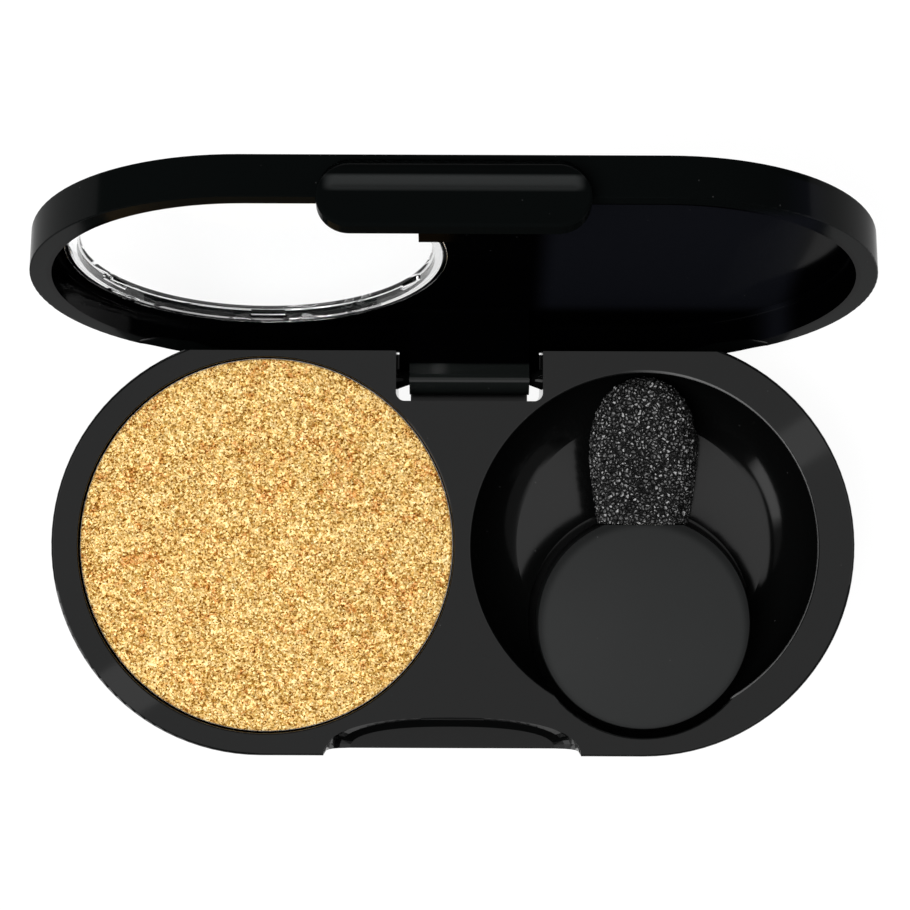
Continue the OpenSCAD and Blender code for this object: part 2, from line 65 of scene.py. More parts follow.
class Bench:
    """Lays out and joins the nodes of one material, world or group."""

    def __init__(self, tree):
        self.tree = tree

    def add(self, kind, inputs=None, **settings):
        made = self.tree.nodes.new(kind)
        for name, value in settings.items():
            setattr(made, name, value)
        for name, value in (inputs or {}).items():
            self.feed(made.inputs[name], value)
        return made

    def feed(self, socket, value):
        if isinstance(value, bpy.types.NodeSocket):
            self.tree.links.new(value, socket)
        else:
            socket.default_value = value

    def sum(self, kind, a, b=0.0, c=None):
        made = self.add("ShaderNodeMath", operation=kind)
        self.feed(made.inputs[0], a)
        self.feed(made.inputs[1], b)
        if c is not None:
            self.feed(made.inputs[2], c)
        return made.outputs[0]

    def product(self, first, *others):
        for other in others:
            first = self.sum("MULTIPLY", first, other)
        return first

    def length(self, a, b):
        squares = self.sum("ADD", self.product(a, a), self.product(b, b))
        return self.sum("SQRT", squares)

    def step(self, value, low, high, out_low=0.0, out_high=1.0):
        """Smooth change from out_low to out_high as value goes from low to high."""
        made = self.add("ShaderNodeMapRange", interpolation_type="SMOOTHSTEP")
        self.feed(made.inputs["Value"], value)
        for name, number in zip(("From Min", "From Max", "To Min", "To Max"),
                                (low, high, out_low, out_high)):
            self.feed(made.inputs[name], number)
        return made.outputs["Result"]

    def window(self, value, low, high, soft):
        """1 between low and high, 0 outside, with soft edges."""
        return self.product(self.step(value, low - soft, low + soft),
                            self.step(value, high - soft, high + soft, 1.0, 0.0))

    def mix(self, share, a, b, blend="MIX"):
        made = self.add("ShaderNodeMix", data_type="RGBA", blend_type=blend)
        self.feed(made.inputs[0], share)
        self.feed(made.inputs[6], a)
        self.feed(made.inputs[7], b)
        return made.outputs[2]

    def ramp(self, value, stops):
        made = self.add("ShaderNodeValToRGB")
        self.feed(made.inputs[0], value)
        band = made.color_ramp
        while len(band.elements) < len(stops):
            band.elements.new(0.5)
        for element, (place, colour) in zip(band.elements, stops):
            element.position = place
            element.color = colour
        return made.outputs[0]

    def noise(self, place, per_mm, detail=2.0, rough=0.5, twist=0.0):
        made = self.add("ShaderNodeTexNoise",
                        {"Vector": place, "Scale": per_mm / MM, "Detail": detail,
                         "Roughness": rough, "Distortion": twist})
        return made.outputs["Fac"]

    def cells(self, place, per_mm, feature="F1"):
        return self.add("ShaderNodeTexVoronoi", {"Vector": place, "Scale": per_mm / MM},
                        feature=feature)

    def bent(self, place, per_mm, reach):
        """The place pushed about by soft noise, by up to reach millimetres."""
        push = self.add("ShaderNodeTexNoise", {"Vector": place, "Scale": per_mm / MM,
                                               "Detail": 2.0}).outputs["Color"]
        return self.add("ShaderNodeVectorMath", {0: push, 1: (reach * MM,) * 3, 2: place},
                        operation="MULTIPLY_ADD").outputs[0]

    def channels(self, colour):
        return self.add("ShaderNodeSeparateColor", {"Color": colour}).outputs

    def bump(self, height, distance, strength=1.0):
        """Normal of a surface raised by height, where 1 is distance millimetres."""
        return self.add("ShaderNodeBump", {"Height": height, "Strength": strength,
                                           "Distance": distance * MM}).outputs[0]

    def place(self):
        return self.add("ShaderNodeTexCoord").outputs["Object"]

    def apart(self, vector):
        return self.add("ShaderNodeSeparateXYZ", {"Vector": vector}).outputs

    def within(self, vector, low, high, soft):
        """1 inside a block given by two corners in millimetres, 0 outside, with soft sides."""
        parts = self.apart(vector)
        return self.product(*(self.window(parts[axis], a * MM, b * MM, soft * MM)
                              for axis, a, b in zip("XYZ", low, high)))

    def lid_place(self):
        """Place on the lid, measured from the hinge: across, out to the lid's free end, and
        away from the plate's inner face."""
        moved = self.add("ShaderNodeVectorMath", {0: self.place(), 1: (0.0, HINGE.y, HINGE.z)},
                         operation="SUBTRACT")
        x, y, z = self.apart(moved.outputs[0])
        cos, sin = math.cos(LID_OPEN), math.sin(LID_OPEN)
        out = self.sum("MULTIPLY_ADD", y, -cos, self.sum("MULTIPLY", z, sin))
        up = self.sum("MULTIPLY_ADD", y, sin, self.sum("MULTIPLY", z, cos))
        return x, out, up


def grey(level, alpha=1.0):
    return (level, level, level, alpha)


def moulded_skin():
    """Surface of moulded plastic: slow waviness, fine grain, smudges of gloss, and dust specks."""
    group = bpy.data.node_groups.new("moulded skin", "ShaderNodeTree")
    for name, start in (("Waves per mm", 0.25), ("Grain per mm", 6.0), ("Grain share", 0.2),
                        ("Smudges per mm", 0.12), ("Specks per mm", 1.1)):
        socket = group.interface.new_socket(name, in_out="INPUT", socket_type="NodeSocketFloat")
        socket.default_value = start
    for name in ("Height", "Smudge", "Speck"):
        group.interface.new_socket(name, in_out="OUTPUT", socket_type="NodeSocketFloat")
    bench = Bench(group)
    given = bench.add("NodeGroupInput").outputs
    place = bench.place()

    def scaled(name):
        return bench.sum("DIVIDE", given[name], MM)

    waves = bench.add("ShaderNodeTexNoise", {"Vector": place, "Scale": scaled("Waves per mm"),
                                             "Detail": 1.0}).outputs["Fac"]
    grain = bench.add("ShaderNodeTexNoise", {"Vector": place, "Scale": scaled("Grain per mm"),
                                             "Detail": 2.0}).outputs["Fac"]
    height = bench.sum("ADD", waves, bench.product(grain, given["Grain share"]))
    smudge = bench.add("ShaderNodeTexNoise", {"Vector": place, "Scale": scaled("Smudges per mm"),
                                              "Detail": 3.0, "Roughness": 0.6,
                                              "Distortion": 0.6}).outputs["Fac"]
    specks = bench.add("ShaderNodeTexVoronoi", {"Vector": place, "Scale": scaled("Specks per mm")})
    dot = bench.step(specks.outputs["Distance"], 0.03, 0.075, 1.0, 0.0)
    chosen = bench.channels(specks.outputs["Color"])[0]
    speck = bench.product(dot, bench.step(chosen, 0.86, 0.9))
    bench.add("NodeGroupOutput", {"Height": height, "Smudge": smudge, "Speck": speck})
    return group


SKIN = moulded_skin()


def start_material(name):
    material = bpy.data.materials.new(name)
    material.use_nodes = True
    material.node_tree.nodes.clear()
    bench = Bench(material.node_tree)
    shader = bench.add("ShaderNodeBsdfPrincipled")
    bench.add("ShaderNodeOutputMaterial", {"Surface": shader.outputs[0]})
    return material, bench, shader


def set_plain(shader, **values):
    """Values that are the same all over, set on the shader's own sockets."""
    for name, value in values.items():
        shader.inputs[name.replace("_", " ")].default_value = value


def moulded_plastic(name, colour, roughness, smudging=0.02, bump=0.002, zones=(), form=None,
                    **skin):
    """Glossy or satin moulded plastic. bump is the skin's height in millimetres. Each zone is a
    function from the bench to a mask, with the colour and the roughness it takes there, or None
    where it stays as it is; some zones' colours are painted light. form is a function from the
    bench to a height in metres that bends the surface."""
    material, bench, shader = start_material(name)
    skin_node = bench.add("ShaderNodeGroup", node_tree=SKIN)
    for key, value in skin.items():
        skin_node.inputs[key.replace("_", " ")].default_value = value
    height, smudge, speck = (skin_node.outputs[n] for n in ("Height", "Smudge", "Speck"))
    dusty = tuple(0.35 * c + 0.09 for c in colour)
    tone = (*colour, 1)
    rough = bench.step(smudge, 0.3, 0.7, roughness - smudging, roughness + smudging)
    for zone, zone_colour, zone_rough in zones:
        share = zone(bench)
        if zone_colour is not None:
            tone = bench.mix(share, tone, (*zone_colour, 1))
        if zone_rough is not None:
            gap = bench.sum("SUBTRACT", zone_rough, rough)
            rough = bench.sum("MULTIPLY_ADD", share, gap, rough)
    bench.feed(shader.inputs["Base Color"],
               bench.mix(bench.product(speck, 0.35), tone, (*dusty, 1)))
    bench.feed(shader.inputs["Roughness"], rough)
    if form is not None:
        height = bench.sum("MULTIPLY_ADD", form(bench), 1 / (bump * MM), height)
    bench.feed(shader.inputs["Normal"], bench.bump(height, bump))
    return material, bench, shader


# ---------- zones: finishes of the moulds, and painted light ---

# Painted shade: everything more than 0.3 mm below the deck, the well included, is coloured darker
# than the deck.
def below_deck(bench):
    z = bench.apart(bench.place())["Z"]
    return bench.step(z, DECK_Z - 0.3 * MM, DECK_Z - 0.02 * MM, 1.0, 0.0)


def from_handle(bench):
    """Distance in metres from the upright line through the middle of the handle."""
    x, y, _ = bench.apart(bench.place())
    return bench.length(bench.sum("SUBTRACT", x, HANDLE_X), bench.sum("SUBTRACT", y, HANDLE_Y))


def pocket_floor(bench):
    """Eroded floor of the handle's pocket."""
    z = bench.apart(bench.place())["Z"]
    return bench.product(bench.window(z, 3.4 * MM, 3.77 * MM, 0.02 * MM),
                         bench.step(from_handle(bench), 8.6 * MM, 8.8 * MM, 1.0, 0.0))


def recess_sheen_band(bench):
    """Shiny band half way down the wall of the thumb recess, with a painted sheen in its lighter
    colour.
    """
    return bench.within(bench.place(), (-10.4, -15.62, 6.4), (10.4, -12.8, 6.98), 0.04)


def recess_upper_wall(bench):
    """Eroded upper part of the thumb recess's upright wall."""
    return bench.within(bench.place(), (-10.4, -15.62, 7.0), (10.4, -12.8, 9.5), 0.06)


def well_lip_highlight(bench):
    """Right half of the well's lip, with a painted highlight in its colour."""
    x, y, z = bench.apart(bench.place())
    side = bench.sum("SUBTRACT", x, SPINE_HALF)
    ring = bench.window(bench.length(side, y), 13.03 * MM, 13.2 * MM, 0.03 * MM)
    return bench.product(ring, bench.step(z, 9.2 * MM, 9.3 * MM),
                         bench.step(side, -2 * MM, 4 * MM))


def handle_edge_shade(bench):
    """The rounded edge of the handle's top, coloured darker as painted shade where it turns away
    from the light.
    """
    return bench.step(from_handle(bench), 7.25 * MM, 7.95 * MM)


def inner_side(bench, up):
    """1 on the lid's inner side, 0 on the outer face of its plate."""
    return bench.step(up, 5.3 * MM, 5.5 * MM, 1.0, 0.0)


def lid_inside_shade(bench):
    """The lid's inside, out to its wall, coloured darker as painted shade."""
    x, out, up = bench.lid_place()
    past = bench.sum("MAXIMUM", bench.sum("SUBTRACT", bench.sum("ABSOLUTE", x), SPINE_HALF), 0.0)
    radius = bench.length(past, bench.sum("SUBTRACT", out, LID_MIDDLE))
    return bench.product(bench.step(radius, 14.8 * MM, 15.0 * MM, 1.0, 0.0),
                         inner_side(bench, up))


def lid_sheen_half(bench):
    """Half of the lid's inner face beside the window, which gets a painted bluish sheen."""
    x, out, up = bench.lid_place()
    return bench.product(bench.window(x, 6.6 * MM, 25.0 * MM, 1.0 * MM),
                         bench.window(out, 1.5 * MM, 25.8 * MM, 1.2 * MM),
                         inner_side(bench, up))


def knuckle(bench):
    """The round part of the hinge."""
    _, out, up = bench.lid_place()
    return bench.step(bench.length(out, up), 1.35 * MM, 1.5 * MM, 1.0, 0.0)


def polished_lid_parts(bench):
    """Hinge knuckle, and the lid's round ends, which hands have rubbed brighter than the rest."""
    x, _, _ = bench.lid_place()
    ends = bench.step(bench.sum("ABSOLUTE", x), 18 * MM, 28 * MM, 0.0, 0.143)
    return bench.sum("MAXIMUM", knuckle(bench), ends)


def low_lid_front(bench):
    """Rim, latch hook and foot of the tab along the lid's front, left dull by the mould."""
    x, out, up = bench.lid_place()
    return bench.product(bench.step(out, 21 * MM, 22 * MM),
                         bench.step(up, 0.4 * MM, 0.5 * MM, 1.0, 0.0),
                         bench.window(x, -19 * MM, 19 * MM, 4 * MM))


CROWN_FROM, CROWN_TO, CROWN_BEND = 2.75 * MM, 3.95 * MM, 2.7 * MM


def tab_crown(bench):
    """Upper part of the thumb tab's face, where it turns away from the flat."""
    x, out, up = bench.lid_place()
    return bench.product(bench.step(up, CROWN_FROM, CROWN_FROM + 0.5 * MM),
                         bench.step(up, CROWN_TO - 0.2 * MM, CROWN_TO + 0.15 * MM, 1.0, 0.0),
                         bench.step(out, 29.4 * MM, 29.5 * MM),
                         bench.window(x, -8.3 * MM, 8.3 * MM, 0.5 * MM))


def crown_height(bench):
    """Height in metres that bends the tab's face back towards its upper edge."""
    _, out, up = bench.lid_place()
    past = bench.sum("MAXIMUM", bench.sum("SUBTRACT", up, CROWN_FROM), 0.0)
    drop = bench.sum("DIVIDE", bench.product(past, past), -2 * CROWN_BEND)
    return bench.product(drop, bench.step(out, 28.6 * MM, 28.7 * MM))


def window_pane(bench):
    """Thin flat pane inside the window's round wall."""
    x, out, _ = bench.lid_place()
    radius = bench.length(bench.sum("SUBTRACT", x, WINDOW_X),
                          bench.sum("SUBTRACT", out, LID_MIDDLE))
    return bench.step(radius, 12.6 * MM, 12.75 * MM, 1.0, 0.0)


# ---------- materials ----------

def gold_powder():
    """Pressed mica shimmer: pale gold crumbs, thin orange cracks between them, and tiny flakes."""
    material, bench, shader = start_material("gold powder")
    place = bench.place()
    clump = bench.noise(place, 0.5, detail=3, rough=0.6, twist=1.2)
    crumb = bench.noise(place, 2.3, detail=3, rough=0.7, twist=0.9)
    grain = bench.noise(place, 7.2, detail=2, rough=0.6)
    flake = bench.channels(bench.cells(place, 8.2).outputs["Color"])
    shifted = bench.bent(place, 2.6, 0.42)

    def cracks(per_mm, width, broken):
        """Thin dark lines between the crumbs, which come and go along their length."""
        edge = bench.cells(shifted, per_mm, feature="DISTANCE_TO_EDGE").outputs["Distance"]
        line = bench.step(edge, 0.3 * width, width, 1.0, 0.0)
        along = bench.noise(place, 0.8 * per_mm, detail=1)
        return bench.product(line, bench.step(along, broken, broken + 0.07))

    # The crumbs' low parts and the cracks are coloured darker orange: partly the powder's own
    # tone, partly painted shade.
    depth = bench.sum("MULTIPLY_ADD", clump, 0.2, bench.product(crumb, 0.8))
    tone = bench.ramp(depth, [(0.30, (0.76, 0.29, 0.06, 1)), (0.37, (0.84, 0.47, 0.14, 1)),
                              (0.43, (0.90, 0.58, 0.20, 1)), (0.54, (0.92, 0.64, 0.25, 1)),
                              (0.66, (0.94, 0.72, 0.33, 1))])
    lines = bench.sum("MAXIMUM", cracks(1.8, 0.1, 0.45),
                      bench.product(cracks(3.6, 0.17, 0.41), 0.9))
    lines = bench.product(lines, bench.step(clump, 0.38, 0.60, 1.0, 0.6))
    crack_tone = bench.mix(bench.step(clump, 0.36, 0.48),
                     (0.50, 0.13, 0.008, 1), (0.33, 0.14, 0.008, 1))
    tone = bench.mix(bench.product(lines, 0.72), tone, crack_tone)
    # Random tone of the grains and flakes, partly the powder's own; its bright bluish end, above
    # white, is painted glints.
    speckle = bench.sum("MULTIPLY_ADD", grain, 0.5, bench.product(flake[0], 0.5))
    grain_tone_and_glint = bench.ramp(speckle, [(0.24, (0.25, 0.13, 0.004, 1)), (0.38, (0.67, 0.56, 0.31, 1)),
                                 (0.50, (0.99, 0.95, 0.86, 1)), (0.62, (1.24, 1.29, 1.44, 1)),
                                 (0.76, (1.42, 1.52, 1.9, 1))])
    set_plain(shader, Specular_IOR_Level=0.06)
    bench.feed(shader.inputs["Base Color"], bench.mix(1.0, tone, grain_tone_and_glint, "MULTIPLY"))
    bench.feed(shader.inputs["Roughness"], bench.step(flake[1], 0.0, 1.0, 0.25, 0.6))
    bench.feed(shader.inputs["Metallic"], bench.step(flake[2], 0.3, 0.8, 0.05, 0.4))
    relief = bench.product(crumb, 0.7)
    for height, share in ((flake[1], 0.12), (grain, 0.25), (lines, -0.35)):
        relief = bench.sum("MULTIPLY_ADD", height, share, relief)
    bench.feed(shader.inputs["Normal"], bench.bump(relief, 0.09))
    return material


def foam():
    """Black open-cell foam: glossy bead-like cell walls with painted highlights in their colour,
    over black pits with painted shade.
    """
    material, bench, shader = start_material("applicator foam")
    place = bench.place()
    shifted = bench.bent(place, 1.6, 0.45)
    bead = bench.channels(bench.cells(shifted, 3.3).outputs["Color"])
    hollow = bench.cells(shifted, 3.3, feature="DISTANCE_TO_EDGE").outputs["Distance"]
    wall = bench.step(hollow, 0.02, 0.26)
    fine = bench.noise(place, 7.0, detail=2)
    slope = bench.noise(shifted, 4.5, detail=1)
    # Painted light: raised cell walls are coloured bright as highlights, the pits near black as
    # shade.
    painted_light = bench.product(wall, bench.step(bead[0], 0.0, 1.0, 0.4, 1.0),
                        bench.step(slope, 0.36, 0.62, 0.35, 1.2),
                        bench.step(fine, 0.35, 0.65, 0.6, 1.25))
    bench.feed(shader.inputs["Base Color"],
               bench.ramp(painted_light, [(0.0, grey(0.0008)), (0.10, grey(0.008)), (0.32, grey(0.055)),
                                (0.65, grey(0.13)), (1.0, grey(0.36))]))
    bench.feed(shader.inputs["Roughness"], bench.step(bead[1], 0.0, 1.0, 0.3, 0.55))
    height = bench.sum("MULTIPLY_ADD", fine, 0.25, wall)
    bench.feed(shader.inputs["Normal"], bench.bump(height, 0.12))
    return material


PANE_BODY = 0.05  # how much of the thin pane is seen at all


def clear_plastic():
    """Clear moulded window: almost no mirror, so that what lies behind stays bright."""
    material, bench, shader = start_material("clear plastic")
    set_plain(shader, IOR=1.47, Transmission_Weight=1.0, Specular_IOR_Level=0.08)
    skin_node = bench.add("ShaderNodeGroup", node_tree=SKIN)
    skin_node.inputs["Waves per mm"].default_value = 0.12
    skin_node.inputs["Grain share"].default_value = 0.0
    smudge, speck = skin_node.outputs["Smudge"], skin_node.outputs["Speck"]
    bench.feed(shader.inputs["Base Color"],
               bench.mix(bench.step(smudge, 0.35, 0.75), (1, 1, 1, 1), (0.985, 0.99, 0.992, 1)))
    bench.feed(shader.inputs["Roughness"],
               bench.sum("MULTIPLY_ADD", speck, 0.1, bench.step(smudge, 0.4, 0.8, 0.0, 0.02)))
    bench.feed(shader.inputs["Alpha"],
               bench.sum("MULTIPLY_ADD", window_pane(bench), PANE_BODY - 1.0, 1.0))
    bench.feed(shader.inputs["Normal"], bench.bump(skin_node.outputs["Height"], 0.003, 0.4))
    # light passes the window without a dark shadow
    through = bench.add("ShaderNodeBsdfTransparent", {"Color": (0.93, 0.94, 0.94, 1)})
    rays = bench.add("ShaderNodeLightPath").outputs
    both = bench.add("ShaderNodeMixShader", {0: rays["Is Shadow Ray"], 1: shader.outputs[0],
                                             2: through.outputs[0]})
    out = next(n for n in material.node_tree.nodes if n.bl_idname == "ShaderNodeOutputMaterial")
    bench.feed(out.inputs["Surface"], both.outputs[0])
    return material


def pan_metal():
    """Drawn aluminium pan: fine turning lines round its middle and a dull skin."""
    material, bench, shader = start_material("pan metal")
    set_plain(shader, Metallic=1.0)
    low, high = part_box("shadow_pan")
    moved = bench.add("ShaderNodeVectorMath", {0: bench.place(), 1: (low + high) / 2},
                      operation="SUBTRACT")
    x, y, z = bench.apart(moved.outputs[0])
    rings = bench.add("ShaderNodeCombineXYZ",
                      {"X": bench.length(x, y), "Y": bench.product(z, 4.0)})
    lines = bench.noise(rings.outputs[0], 9.0, detail=2)
    bench.feed(shader.inputs["Base Color"], bench.mix(lines, grey(0.72), (0.88, 0.88, 0.9, 1)))
    bench.feed(shader.inputs["Roughness"], bench.step(lines, 0.3, 0.7, 0.28, 0.45))
    bench.feed(shader.inputs["Normal"], bench.bump(lines, 0.01, 0.6))
    return material


def glue():
    """Dried clear-yellow glue with small bubbles."""
    material, bench, shader = start_material("pan glue")
    place = bench.place()
    bubbles = bench.cells(place, 1.4).outputs["Distance"]
    flow = bench.noise(place, 0.5, detail=3)
    bench.feed(shader.inputs["Base Color"],
               bench.ramp(flow, [(0.35, (0.62, 0.52, 0.3, 1)), (0.65, (0.8, 0.74, 0.52, 1))]))
    bench.feed(shader.inputs["Roughness"], bench.step(flow, 0.3, 0.7, 0.15, 0.35))
    bench.feed(shader.inputs["Normal"], bench.bump(bench.sum("ADD", flow, bubbles), 0.05, 0.5))
    return material


def dress(material, *names):
    for name in names:
        for holder in nodes[name].material_slots:
            holder.material = material


CASE_BLACK = (0.0045, 0.0047, 0.0047)
# painted shade for the well and all below the deck
WELL_SHADE_BLACK = (0.0018, 0.0019, 0.0019)
# painted sheen on the recess band
RECESS_SHEEN_BLACK = (0.0068, 0.0070, 0.0070)
LID_BLACK = (0.0020, 0.0025, 0.0025)
# painted shade inside the lid
LID_INSIDE_SHADE = (0.0003, 0.0003, 0.0004)
# painted bluish sheen on the lid's inner face
LID_SHEEN = (0.0042, 0.0046, 0.0064)
CROWN_SHEEN = (0.046, 0.049, 0.049)
# painted sheen that lifts the hinge knuckle's colour
KNUCKLE_SHEEN = (0.0055, 0.0065, 0.0062)
HANDLE_BLACK = (0.0200, 0.0208, 0.0208)
# painted shade on the handle's rounded edge
HANDLE_EDGE_SHADE = (0.0085, 0.0090, 0.0090)
# painted highlight on the well's lip
LIP_HIGHLIGHT = (0.11, 0.11, 0.11)
STEM_IVORY = (0.8, 0.79, 0.75)

case_plastic, _, _ = moulded_plastic(
    "case plastic", CASE_BLACK, 0.026, 0.006, bump=0.0010,
    zones=((below_deck, WELL_SHADE_BLACK, 0.12), (pocket_floor, None, 0.75),
           (recess_upper_wall, None, 1.0), (recess_sheen_band, RECESS_SHEEN_BLACK, 0.05),
           (well_lip_highlight, LIP_HIGHLIGHT, None)),
    Waves_per_mm=0.22, Grain_share=0.06)
lid_plastic, lid_bench, lid_shader = moulded_plastic(
    "lid plastic", LID_BLACK, 0.14, 0.02, bump=0.002,
    zones=((lid_inside_shade, LID_INSIDE_SHADE, None), (lid_sheen_half, LID_SHEEN, None),
           (tab_crown, CROWN_SHEEN, 0.2), (knuckle, KNUCKLE_SHEEN, None),
           (low_lid_front, None, 0.65)),
    form=crown_height, Waves_per_mm=0.16, Grain_share=0.05)
set_plain(lid_shader, Specular_IOR_Level=0.002, Coat_Roughness=0.1)
lid_bench.feed(lid_shader.inputs["Coat Weight"], polished_lid_parts(lid_bench))
lid_bench.feed(lid_shader.inputs["Metallic"], tab_crown(lid_bench))
handle_plastic, _, handle_shader = moulded_plastic(
    "handle plastic", HANDLE_BLACK, 0.46, 0.03, bump=0.004,
    zones=((handle_edge_shade, HANDLE_EDGE_SHADE, None),),
    Waves_per_mm=0.3, Grain_per_mm=9.0, Grain_share=0.5)
set_plain(handle_shader, Specular_IOR_Level=0.16)
stem_plastic, _, _ = moulded_plastic(
    "stem plastic", STEM_IVORY, 0.4, 0.05, bump=0.004,
    Waves_per_mm=0.6, Grain_share=0.4, Specks_per_mm=0.7)
gold = gold_powder()
foam_material = foam()

dress(case_plastic, "base_case", "bottom_cover")
dress(lid_plastic, "lid_shell")
dress(clear_plastic(), "lid_window")
dress(handle_plastic, "handle_shell", "handle_base")
dress(stem_plastic, "applicator_stem")
dress(pan_metal(), "shadow_pan")
dress(glue(), "pan_glue")
dress(gold, "pressed_shadow")
dress(foam_material, "sponge_tip")


# ---------- pressed powder with its relief ----------

def shape_object(name, points, faces, material):
    mesh = bpy.data.meshes.new(name)
    mesh.from_pydata([tuple(p) for p in points], [], [tuple(f) for f in faces])
    mesh.update()
    mesh.materials.append(material)
    made = bpy.data.objects.new(name, mesh)
    bpy.context.scene.collection.objects.link(made)
    mesh.polygons.foreach_set("use_smooth", [True] * len(mesh.polygons))
    return made


def ring_disc(rings, radius):
    """Points and triangles of a disc: ring k has 6k points, so that the triangles stay even."""
    points, faces = [(0.0, 0.0)], []
    first = 1
    for k in range(1, rings + 1):
        count = 6 * k
        for i in range(count):
            a = 2 * math.pi * i / count
            points.append((radius * k / rings * math.cos(a), radius * k / rings * math.sin(a)))
        inner_count, inner_first = 6 * (k - 1), first - 6 * (k - 1)
        for side in range(6):
            for j in range(k):
                a, b = side * k + j, (side * k + j + 1) % count
                if k == 1:
                    faces.append((0, first + a, first + b))
                    continue
                p = inner_first + (side * (k - 1) + j) % inner_count
                faces.append((p, first + a, first + b))
                if j < k - 1:
                    q = inner_first + (side * (k - 1) + j + 1) % inner_count
                    faces.append((p, first + b, q))
        first += count
    return points, faces


def powder_relief():
    """The cake: a low dome of crumbs and pits that fills the pan and laps over its rim."""
    low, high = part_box("pressed_shadow")
    centre = (low + high) / 2
    outer = (high.x - low.x) / 2
    rim_z, top_z = DECK_Z - 0.45 * MM, high.z
    fill_r, cap_z = outer - 0.25 * MM, rim_z - 0.25 * MM  # body in the pan, underside of the lap
    rings = 120
    flat, faces = ring_disc(rings, outer)
    points = []
    for x, y in flat:
        r = math.hypot(x, y) / outer
        p = Vector((x, y, 0)) / MM
        crumbs = noise.fractal(p * 1.3, 0.9, 2.1, 4)
        clumps = noise.noise(p * 0.45 + Vector((7.1, 3.3, 0)))
        pits = max(0.0, noise.noise(p * 1.9 + Vector((2.0, 9.0, 4.0))) - 0.28)
        rise = (1 - r * r) * (top_z - rim_z)
        relief = 0.030 * crumbs + 0.025 * clumps - 0.16 * pits - 0.035  # millimetres
        crumble = max(0.0, (r - 0.985) / 0.015)  # from 0 just inside the edge to 1 at it
        z = rim_z + rise + relief * MM * (1 - 0.5 * crumble) - 0.06 * MM * crumble
        points.append((centre.x + x, centre.y + y, min(z, top_z)))
    count = 6 * rings
    edge = len(points) - count
    for r, z in ((outer, cap_z), (fill_r, cap_z), (fill_r, low.z)):
        start = len(points)
        for i in range(count):
            a = 2 * math.pi * i / count
            points.append((centre.x + r * math.cos(a), centre.y + r * math.sin(a), z))
        for i in range(count):
            j = (i + 1) % count
            faces.append((edge + j, edge + i, start + i, start + j))
        edge = start
    faces.append([edge + i for i in range(count)][::-1])
    made = shape_object("powder_relief", points, faces, gold)
    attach(made, "base")
    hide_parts("pressed_shadow")


# ---------- foam tip with its cells ----------

def copy_of(node, name):
    """A loose copy of a solid, to be reworked."""
    made = bpy.data.objects.new(name, nodes[node].data.copy())
    bpy.context.scene.collection.objects.link(made)
    return made


def foam_tip():
    """The tip's solid remeshed finely, then pushed in and out into beads and open cells."""
    made = copy_of("sponge_tip", "foam_tip")
    remesh = made.modifiers.new("fine skin", "REMESH")
    remesh.mode = "VOXEL"
    remesh.voxel_size = 0.11 * MM
    bpy.context.view_layer.update()
    ready = made.evaluated_get(bpy.context.evaluated_depsgraph_get())
    mesh = bpy.data.meshes.new_from_object(ready)
    made.modifiers.clear()
    made.data = mesh
    mesh.materials.clear()
    mesh.materials.append(foam_material)
    normals = [v.normal.copy() for v in mesh.vertices]
    start_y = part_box("handle_shell")[1].y  # the foam lies smooth where it leaves the handle
    for v, n in zip(mesh.vertices, normals):
        p = v.co / MM
        near = noise.voronoi(p * 3.0)[0]
        bead = min(0.32, 0.55 * (near[1] - near[0]) + 0.12 * (0.6 - near[0]))
        lump = noise.noise(p * 1.1) * 0.4 + noise.noise(p * 2.3) * 0.4
        fade = min(1.0, max(0.0, (v.co.y - start_y) / (0.8 * MM)))
        v.co += n * ((0.42 * bead + 0.07 * lump - 0.11) * MM * (0.3 + 0.7 * fade))
    mesh.polygons.foreach_set("use_smooth", [True] * len(mesh.polygons))
    mesh.update()
    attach(made, "applicator")
    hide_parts("sponge_tip")


# ---------- window ----------

WINDOW_GAP = 0.015 * MM


def clear_window():
    """The window drawn a hair inside the opening it is bonded to, so that no faces coincide."""
    made = copy_of("lid_window", "clear_window")
    work = bmesh.new()
    work.from_mesh(made.data)
    bmesh.ops.remove_doubles(work, verts=work.verts, dist=0.0005 * MM)
    work.normal_update()
    for v, n in [(v, v.normal.copy()) for v in work.verts]:
        v.co -= n * WINDOW_GAP
    work.to_mesh(made.data)
    work.free()
    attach(made, "lid")
    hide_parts("lid_window")


powder_relief()
foam_tip()
clear_window()


# ---------- floor, light and camera ----------

def pale_floor():
    """Plain floor: white to the eye and in reflections, with the compact's soft shadow on it."""
    half, z = 3.0, -0.02 * MM
    points = [(-half, -half, z), (half, -half, z), (half, half, z), (-half, half, z)]
    material = bpy.data.materials.new("pale floor")
    material.use_nodes = True
    material.node_tree.nodes.clear()
    bench = Bench(material.node_tree)
    rays = bench.add("ShaderNodeLightPath").outputs
    seen = bench.sum("MAXIMUM", rays["Is Camera Ray"],
                     bench.sum("MAXIMUM", rays["Is Glossy Ray"], rays["Is Transmission Ray"]))
    painted_light = bench.add("ShaderNodeBsdfDiffuse", {"Color": grey(0.8)})
    faint = bench.add("ShaderNodeBsdfDiffuse", {"Color": grey(0.1)})
    glow = bench.add("ShaderNodeEmission", {"Color": grey(1.0), "Strength": 0.94})
    shown = bench.add("ShaderNodeAddShader", {0: faint.outputs[0], 1: glow.outputs[0]})
    both = bench.add("ShaderNodeMixShader", {0: seen, 1: painted_light.outputs[0], 2: shown.outputs[0]})
    bench.add("ShaderNodeOutputMaterial", {"Surface": both.outputs[0]})
    floor = shape_object("floor", points, [(0, 1, 2, 3)], material)


